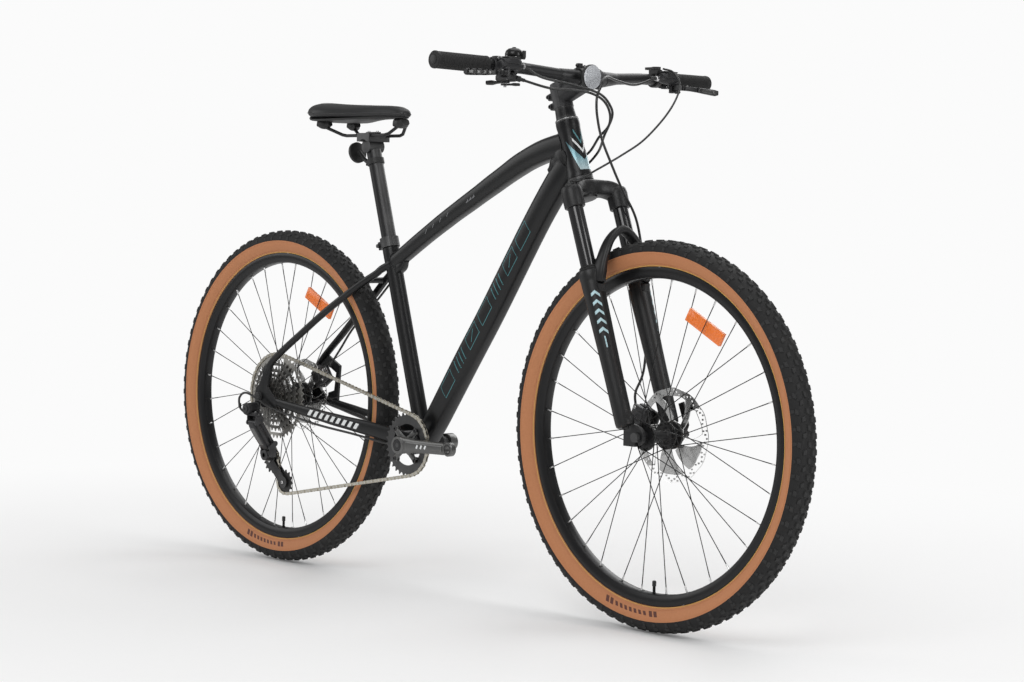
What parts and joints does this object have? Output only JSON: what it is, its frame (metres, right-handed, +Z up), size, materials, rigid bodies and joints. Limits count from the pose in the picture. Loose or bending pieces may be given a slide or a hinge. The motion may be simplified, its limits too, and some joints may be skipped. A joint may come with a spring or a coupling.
{
  "type": "mountain bike",
  "caption": "Hardtail mountain bike with suspension fork, disc brakes, single chainring and rear derailleur, tan-wall knobby tyres, without pedals.",
  "frame": {"origin": "on the ground, midway between the two hubs, in the bike's middle plane", "axes": "+X forward, +Y to the rider's left, +Z up"},
  "size_m": [1.871, 0.7502, 1.0914],
  "materials": {
    "frame_paint": "satin black paint",
    "black_alloy": "satin black anodised",
    "bare_alloy": "machined",
    "steel": "brushed",
    "chain_steel": "nickel plated",
    "spoke_steel": "black coated",
    "stanchion": "gloss black",
    "fork_paint": "matt black paint",
    "tyre": "black tread, tan sidewall",
    "rim_black": "satin black anodised",
    "crank_grey": "dark grey anodised",
    "black_plastic": "moulded",
    "grip_rubber": "knurled",
    "cable_black": "smooth",
    "orange_lens": "moulded prisms",
    "clear_lens": "moulded prisms",
    "red_lens": "moulded prisms",
    "saddle_cover": "fine grained synthetic leather"
  },
  "bodies": {
    "frame": {"frame": "frame_paint", "frame_bearings": "steel", "seat_collar": "black_alloy", "derailleur_hanger": "black_alloy", "rear_caliper": "black_alloy", "rear_axle": "steel", "rear_cables": "cable_black", "chain": "chain_steel"},
    "front_end": {"fork_crown": "fork_paint", "stanchions": "stanchion", "stem": "black_alloy", "stem_hardware": "black_alloy", "handlebar": "black_alloy", "grips": "grip_rubber", "brake_masters": "black_alloy", "shifter_body": "black_plastic", "lockout_remote": "black_plastic", "bell": "black_plastic", "front_reflector": "clear_lens", "front_cables": "cable_black"},
    "fork_lowers": {"fork_lowers": "fork_paint", "front_caliper": "bare_alloy", "front_axle": "steel"},
    "front_wheel": {"front_tyre": "tyre", "front_rim": "rim_black", "front_spokes": "spoke_steel", "front_hub": "black_alloy", "front_rotor": "steel", "front_spoke_reflector": "orange_lens"},
    "rear_wheel": {"rear_tyre": "tyre", "rear_rim": "rim_black", "rear_spokes": "spoke_steel", "rear_hub": "black_alloy", "rear_rotor": "steel", "rear_spoke_reflector": "orange_lens"},
    "cassette": {"cassette": "steel"},
    "crank": {"crank_arms": "crank_grey", "crank_spindle": "steel", "chainring": "crank_grey"},
    "rd_b_knuckle": {"rd_b_knuckle": "black_alloy"},
    "rd_outer_link": {"rd_outer_link": "black_alloy"},
    "rd_inner_link": {"rd_inner_link": "black_alloy"},
    "rd_p_knuckle": {"rd_p_knuckle": "black_alloy"},
    "rd_cage": {"rd_cage": "black_alloy"},
    "rd_guide_pulley": {"rd_guide_pulley": "black_plastic"},
    "rd_tension_pulley": {"rd_tension_pulley": "black_plastic"},
    "seatpost": {"seatpost": "black_alloy", "rear_reflector": "red_lens"},
    "saddle_clamp": {"saddle_clamp": "black_alloy"},
    "saddle": {"saddle": "saddle_cover", "saddle_rails": "steel"},
    "right_brake_lever": {"right_brake_lever": "black_alloy"},
    "left_brake_lever": {"left_brake_lever": "black_alloy"},
    "shift_lever": {"shift_lever": "black_plastic"},
    "release_lever": {"release_lever": "black_plastic"},
    "lockout_lever": {"lockout_lever": "black_plastic"},
    "bell_striker": {"bell_striker": "black_plastic"},
    "front_qr_lever": {"front_qr_lever": "black_alloy"},
    "rear_qr_lever": {"rear_qr_lever": "black_alloy"}
  },
  "joints": [
    {"name": "steering", "type": "hinge", "parent": "frame", "child": "front_end", "pos_m": [0.304, 0, 0.965], "axis": [-0.3355, 0, 0.9421], "range_deg": [-55, 55], "deforming": ["rear_cables"]},
    {"name": "fork_slide", "type": "slide", "parent": "front_end", "child": "fork_lowers", "axis": [-0.3355, 0, 0.9421], "range_m": [0, 0.1], "stiffness_N_per_m": 8000, "springref_m": -0.012, "deforming": ["front_cables"]},
    {"name": "front_wheel_spin", "type": "hinge", "parent": "fork_lowers", "child": "front_wheel", "pos_m": [0.5655, 0, 0.37], "axis": [0, 1, 0], "continuous": true},
    {"name": "rear_wheel_spin", "type": "hinge", "parent": "frame", "child": "rear_wheel", "pos_m": [-0.5655, 0, 0.37], "axis": [0, 1, 0], "continuous": true},
    {"name": "crank_spin", "type": "hinge", "parent": "frame", "child": "crank", "pos_m": [-0.0935, 0, 0.301], "axis": [0, 1, 0], "continuous": true, "deforming": ["chain"]},
    {"name": "cassette_spin", "type": "hinge", "parent": "frame", "child": "cassette", "pos_m": [-0.5655, 0, 0.37], "axis": [0, 1, 0], "continuous": true},
    {"name": "rd_b_pivot", "type": "hinge", "parent": "frame", "child": "rd_b_knuckle", "pos_m": [-0.5755, -0.09, 0.342], "axis": [0, 1, 0], "range_deg": [0, 25], "deforming": ["chain", "rear_cables"]},
    {"name": "rd_shift", "type": "hinge", "parent": "rd_b_knuckle", "child": "rd_outer_link", "pos_m": [-0.5655, -0.092, 0.312], "axis": [-1, 0, 0], "range_deg": [0, 31], "deforming": ["chain", "rear_cables"]},
    {"name": "rd_inner_link_turn", "type": "hinge", "parent": "rd_b_knuckle", "child": "rd_inner_link", "pos_m": [-0.5655, -0.08028, 0.32037], "axis": [-1, 0, 0], "range_deg": [0, 31]},
    {"name": "rd_p_knuckle_turn", "type": "hinge", "parent": "rd_outer_link", "child": "rd_p_knuckle", "pos_m": [-0.5655, -0.052, 0.256], "axis": [-1, 0, 0], "range_deg": [-31, 0]},
    {"name": "rd_cage_swing", "type": "hinge", "parent": "rd_p_knuckle", "child": "rd_cage", "pos_m": [-0.5675, -0.044, 0.238], "axis": [0, 1, 0], "range_deg": [-6, 80], "deforming": ["chain", "rear_cables"]},
    {"name": "guide_pulley_spin", "type": "hinge", "parent": "rd_cage", "child": "rd_guide_pulley", "pos_m": [-0.57881, -0.026, 0.22343], "axis": [0, 1, 0], "continuous": true},
    {"name": "tension_pulley_spin", "type": "hinge", "parent": "rd_cage", "child": "rd_tension_pulley", "pos_m": [-0.53063, -0.026, 0.17972], "axis": [0, 1, 0], "continuous": true},
    {"name": "seatpost_slide", "type": "slide", "parent": "frame", "child": "seatpost", "axis": [-0.2915, 0, 0.9566], "range_m": [-0.14, 0.04]},
    {"name": "saddle_tilt", "type": "hinge", "parent": "seatpost", "child": "saddle_clamp", "pos_m": [-0.28271, 0, 0.92181], "axis": [0, 1, 0], "range_deg": [-8, 8]},
    {"name": "saddle_slide", "type": "slide", "parent": "saddle_clamp", "child": "saddle", "axis": [1, 0, 0], "range_m": [-0.012, 0.012]},
    {"name": "right_brake_pull", "type": "hinge", "parent": "front_end", "child": "right_brake_lever", "pos_m": [0.3787, -0.234, 1.04103], "axis": [0, 0, -1], "range_deg": [0, 18], "stiffness_Nm_per_rad": 2, "springref_deg": -5.73},
    {"name": "left_brake_pull", "type": "hinge", "parent": "front_end", "child": "left_brake_lever", "pos_m": [0.3787, 0.234, 1.04103], "axis": [0, 0, 1], "range_deg": [0, 18], "stiffness_Nm_per_rad": 2, "springref_deg": -5.73},
    {"name": "shift_up_push", "type": "hinge", "parent": "front_end", "child": "shift_lever", "pos_m": [0.35003, -0.212, 1.03274], "axis": [0, 0, -1], "range_deg": [0, 35], "stiffness_Nm_per_rad": 0.3, "springref_deg": -5.73},
    {"name": "release_push", "type": "hinge", "parent": "front_end", "child": "release_lever", "pos_m": [0.35003, -0.212, 1.03274], "axis": [0, 0, 1], "range_deg": [0, 12], "stiffness_Nm_per_rad": 0.3, "springref_deg": -5.73},
    {"name": "lockout_push", "type": "hinge", "parent": "front_end", "child": "lockout_lever", "pos_m": [0.3443, 0.208, 1.07869], "axis": [0, 0, 1], "range_deg": [0, 40]},
    {"name": "bell_flick", "type": "hinge", "parent": "front_end", "child": "bell_striker", "pos_m": [0.36377, -0.18, 1.07337], "axis": [0, 1, 0], "range_deg": [0, 20], "stiffness_Nm_per_rad": 0.1, "springref_deg": -5.73},
    {"name": "front_qr_open", "type": "hinge", "parent": "fork_lowers", "child": "front_qr_lever", "pos_m": [0.5655, 0.073, 0.37], "axis": [-0.9421, 0, -0.3355], "range_deg": [0, 150]},
    {"name": "rear_qr_open", "type": "hinge", "parent": "frame", "child": "rear_qr_lever", "pos_m": [-0.5655, 0.09, 0.37], "axis": [-0.9539, 0, 0.3], "range_deg": [0, 150]}
  ],
  "couplings": [
    {"joint": "cassette_spin", "follows": "crank_spin", "ratio": 0.69565},
    {"joint": "guide_pulley_spin", "follows": "crank_spin", "ratio": -2.4615},
    {"joint": "tension_pulley_spin", "follows": "crank_spin", "ratio": 2.4615},
    {"joint": "rd_inner_link_turn", "follows": "rd_shift", "ratio": 1},
    {"joint": "rd_p_knuckle_turn", "follows": "rd_shift", "ratio": -1}
  ]
}
